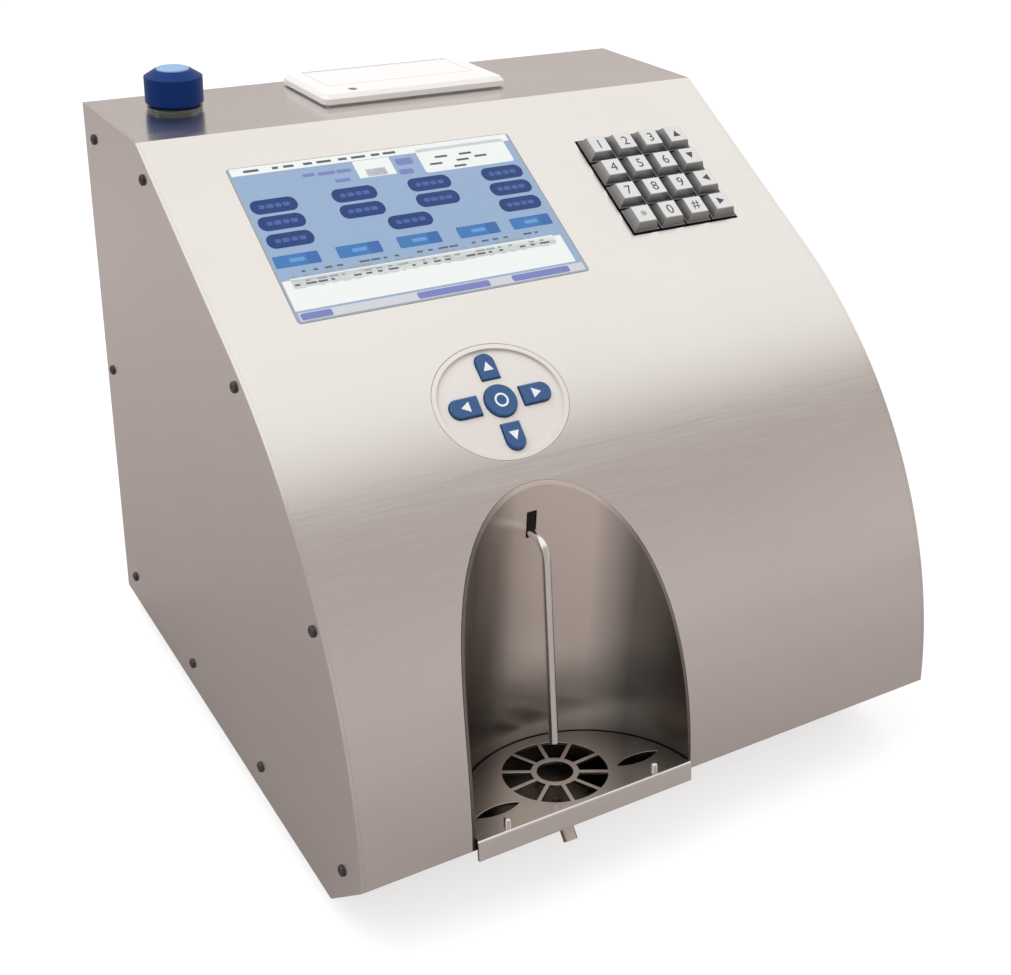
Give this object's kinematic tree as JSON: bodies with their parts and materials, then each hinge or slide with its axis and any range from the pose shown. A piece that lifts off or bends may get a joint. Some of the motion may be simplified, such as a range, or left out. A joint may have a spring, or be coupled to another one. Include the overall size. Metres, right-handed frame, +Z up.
{
  "type": "milk analyzer",
  "caption": "Benchtop milk analyzer: brushed steel housing with a curved front, arched sampling niche, colour screen, keypad, arrow pad, receipt printer and filling port.",
  "frame": {"origin": "on the table under the middle of the whole bounding box", "axes": "+X to the right seen from the front, +Y towards the back, +Z up"},
  "size_m": [0.2926, 0.3094, 0.2908],
  "materials": {
    "housing_steel": "brushed",
    "niche_steel": "brushed",
    "dark_screws": "black oxide",
    "feet_rubber": "matte",
    "bright_pins": "polished",
    "screen": "glossy",
    "black_plastic": "matte",
    "inner_sheet": "plain",
    "key_metal": "satin",
    "pad_beige": "satin",
    "button_blue": "satin",
    "circuit_board": "satin",
    "printer_white": "semi gloss",
    "paper": "matte",
    "clear_plastic": "clear",
    "cap_blue": "gloss",
    "liner_white": "matte",
    "switch_black": "gloss",
    "connector_steel": "plain",
    "silicone": "soft",
    "cell_metal": "machined",
    "pump_grey": "matte"
  },
  "bodies": {
    "housing": {"front_cover": "housing_steel", "left_side_panel": "housing_steel", "right_side_panel": "housing_steel", "base_plate": "housing_steel", "rear_panel": "housing_steel", "niche_liner": "niche_steel", "housing_screws": "dark_screws", "rubber_feet": "feet_rubber", "drip_pan": "niche_steel", "sample_tube": "bright_pins", "tube_grommet": "feet_rubber", "display_lens": "screen", "display_module": "black_plastic", "display_bracket": "inner_sheet", "keypad_base": "black_plastic", "nav_pad_plate": "pad_beige", "nav_board": "circuit_board", "printer_body": "printer_white", "lid_pin": "bright_pins", "port_bottle": "clear_plastic", "power_inlet": "black_plastic", "data_ports": "connector_steel", "hose_barbs": "connector_steel", "sample_hoses": "silicone", "measuring_cell": "cell_metal", "cell_bracket": "inner_sheet", "pump_body": "pump_grey", "pump_motor": "black_plastic", "main_board": "circuit_board", "power_supply": "inner_sheet"},
    "key_1_1_body": {"key_1_1": "key_metal"},
    "key_1_2_body": {"key_1_2": "key_metal"},
    "key_1_3_body": {"key_1_3": "key_metal"},
    "key_1_4_body": {"key_1_4": "key_metal"},
    "key_2_1_body": {"key_2_1": "key_metal"},
    "key_2_2_body": {"key_2_2": "key_metal"},
    "key_2_3_body": {"key_2_3": "key_metal"},
    "key_2_4_body": {"key_2_4": "key_metal"},
    "key_3_1_body": {"key_3_1": "key_metal"},
    "key_3_2_body": {"key_3_2": "key_metal"},
    "key_3_3_body": {"key_3_3": "key_metal"},
    "key_3_4_body": {"key_3_4": "key_metal"},
    "key_4_1_body": {"key_4_1": "key_metal"},
    "key_4_2_body": {"key_4_2": "key_metal"},
    "key_4_3_body": {"key_4_3": "key_metal"},
    "key_4_4_body": {"key_4_4": "key_metal"},
    "nav_button_centre_body": {"nav_button_centre": "button_blue"},
    "nav_button_right_body": {"nav_button_right": "button_blue"},
    "nav_button_up_body": {"nav_button_up": "button_blue"},
    "nav_button_left_body": {"nav_button_left": "button_blue"},
    "nav_button_down_body": {"nav_button_down": "button_blue"},
    "lid": {"printer_lid": "printer_white"},
    "roll": {"paper_roll": "paper"},
    "platen": {"platen_roller": "feet_rubber"},
    "cap_seal": {"cap_liner": "liner_white"},
    "cap": {"screw_cap": "cap_blue"},
    "grid": {"drip_grid": "niche_steel", "grid_studs": "bright_pins"},
    "rocker": {"switch_rocker": "switch_black"},
    "rotor": {"pump_rotor": "liner_white"}
  },
  "joints": [
    {"name": "key_1_1_press", "type": "slide", "parent": "housing", "child": "key_1_1_body", "axis": [0, 0.5045, -0.8634], "range_m": [0, 0.0015], "stiffness_N_per_m": 400, "springref_m": -0.0005},
    {"name": "key_1_2_press", "type": "slide", "parent": "housing", "child": "key_1_2_body", "axis": [0, 0.5045, -0.8634], "range_m": [0, 0.0015], "stiffness_N_per_m": 400, "springref_m": -0.0005},
    {"name": "key_1_3_press", "type": "slide", "parent": "housing", "child": "key_1_3_body", "axis": [0, 0.5045, -0.8634], "range_m": [0, 0.0015], "stiffness_N_per_m": 400, "springref_m": -0.0005},
    {"name": "key_1_4_press", "type": "slide", "parent": "housing", "child": "key_1_4_body", "axis": [0, 0.5045, -0.8634], "range_m": [0, 0.0015], "stiffness_N_per_m": 400, "springref_m": -0.0005},
    {"name": "key_2_1_press", "type": "slide", "parent": "housing", "child": "key_2_1_body", "axis": [0, 0.5045, -0.8634], "range_m": [0, 0.0015], "stiffness_N_per_m": 400, "springref_m": -0.0005},
    {"name": "key_2_2_press", "type": "slide", "parent": "housing", "child": "key_2_2_body", "axis": [0, 0.5045, -0.8634], "range_m": [0, 0.0015], "stiffness_N_per_m": 400, "springref_m": -0.0005},
    {"name": "key_2_3_press", "type": "slide", "parent": "housing", "child": "key_2_3_body", "axis": [0, 0.5045, -0.8634], "range_m": [0, 0.0015], "stiffness_N_per_m": 400, "springref_m": -0.0005},
    {"name": "key_2_4_press", "type": "slide", "parent": "housing", "child": "key_2_4_body", "axis": [0, 0.5045, -0.8634], "range_m": [0, 0.0015], "stiffness_N_per_m": 400, "springref_m": -0.0005},
    {"name": "key_3_1_press", "type": "slide", "parent": "housing", "child": "key_3_1_body", "axis": [0, 0.5045, -0.8634], "range_m": [0, 0.0015], "stiffness_N_per_m": 400, "springref_m": -0.0005},
    {"name": "key_3_2_press", "type": "slide", "parent": "housing", "child": "key_3_2_body", "axis": [0, 0.5045, -0.8634], "range_m": [0, 0.0015], "stiffness_N_per_m": 400, "springref_m": -0.0005},
    {"name": "key_3_3_press", "type": "slide", "parent": "housing", "child": "key_3_3_body", "axis": [0, 0.5045, -0.8634], "range_m": [0, 0.0015], "stiffness_N_per_m": 400, "springref_m": -0.0005},
    {"name": "key_3_4_press", "type": "slide", "parent": "housing", "child": "key_3_4_body", "axis": [0, 0.5045, -0.8634], "range_m": [0, 0.0015], "stiffness_N_per_m": 400, "springref_m": -0.0005},
    {"name": "key_4_1_press", "type": "slide", "parent": "housing", "child": "key_4_1_body", "axis": [0, 0.5045, -0.8634], "range_m": [0, 0.0015], "stiffness_N_per_m": 400, "springref_m": -0.0005},
    {"name": "key_4_2_press", "type": "slide", "parent": "housing", "child": "key_4_2_body", "axis": [0, 0.5045, -0.8634], "range_m": [0, 0.0015], "stiffness_N_per_m": 400, "springref_m": -0.0005},
    {"name": "key_4_3_press", "type": "slide", "parent": "housing", "child": "key_4_3_body", "axis": [0, 0.5045, -0.8634], "range_m": [0, 0.0015], "stiffness_N_per_m": 400, "springref_m": -0.0005},
    {"name": "key_4_4_press", "type": "slide", "parent": "housing", "child": "key_4_4_body", "axis": [0, 0.5045, -0.8634], "range_m": [0, 0.0015], "stiffness_N_per_m": 400, "springref_m": -0.0005},
    {"name": "nav_button_centre_press", "type": "slide", "parent": "housing", "child": "nav_button_centre_body", "axis": [0, 0.6574, -0.7536], "range_m": [0, 0.0008], "stiffness_N_per_m": 600, "springref_m": -0.0005},
    {"name": "nav_button_right_press", "type": "slide", "parent": "housing", "child": "nav_button_right_body", "axis": [0, 0.6574, -0.7536], "range_m": [0, 0.0008], "stiffness_N_per_m": 600, "springref_m": -0.0005},
    {"name": "nav_button_up_press", "type": "slide", "parent": "housing", "child": "nav_button_up_body", "axis": [0, 0.6574, -0.7536], "range_m": [0, 0.0008], "stiffness_N_per_m": 600, "springref_m": -0.0005},
    {"name": "nav_button_left_press", "type": "slide", "parent": "housing", "child": "nav_button_left_body", "axis": [0, 0.6574, -0.7536], "range_m": [0, 0.0008], "stiffness_N_per_m": 600, "springref_m": -0.0005},
    {"name": "nav_button_down_press", "type": "slide", "parent": "housing", "child": "nav_button_down_body", "axis": [0, 0.6574, -0.7536], "range_m": [0, 0.0008], "stiffness_N_per_m": 600, "springref_m": -0.0005},
    {"name": "lid_open", "type": "hinge", "parent": "housing", "child": "lid", "pos_m": [0.0005, 0.12672, 0.2762], "axis": [-1, 0, 0], "range_deg": [0, 95]},
    {"name": "roll_spin", "type": "hinge", "parent": "housing", "child": "roll", "pos_m": [0.0005, 0.11122, 0.2629], "axis": [1, 0, 0], "continuous": true},
    {"name": "platen_spin", "type": "hinge", "parent": "housing", "child": "platen", "pos_m": [0.0005, 0.09492, 0.27], "axis": [1, 0, 0], "continuous": true},
    {"name": "cap_lift", "type": "slide", "parent": "housing", "child": "cap_seal", "axis": [0, 0, 1], "range_m": [0, 0.00901]},
    {"name": "cap_turn", "type": "hinge", "parent": "cap_seal", "child": "cap", "pos_m": [-0.1103, 0.10932, 0.2748], "axis": [0, 0, 1], "range_deg": [0, 1080]},
    {"name": "grid_slide", "type": "slide", "parent": "housing", "child": "grid", "axis": [0, -0.9903, 0.1392], "range_m": [0, 0.055]},
    {"name": "rocker_tip", "type": "hinge", "parent": "housing", "child": "rocker", "pos_m": [0.114, 0.13632, 0.054], "axis": [1, 0, 0], "range_deg": [0, 14]},
    {"name": "pump_spin", "type": "hinge", "parent": "housing", "child": "rotor", "pos_m": [0.04542, -0.08448, 0.1375], "axis": [0, 1, 0], "continuous": true}
  ],
  "couplings": [
    {"joint": "cap_lift", "follows": "cap_turn", "m_per_rad": 0.00047746}
  ]
}
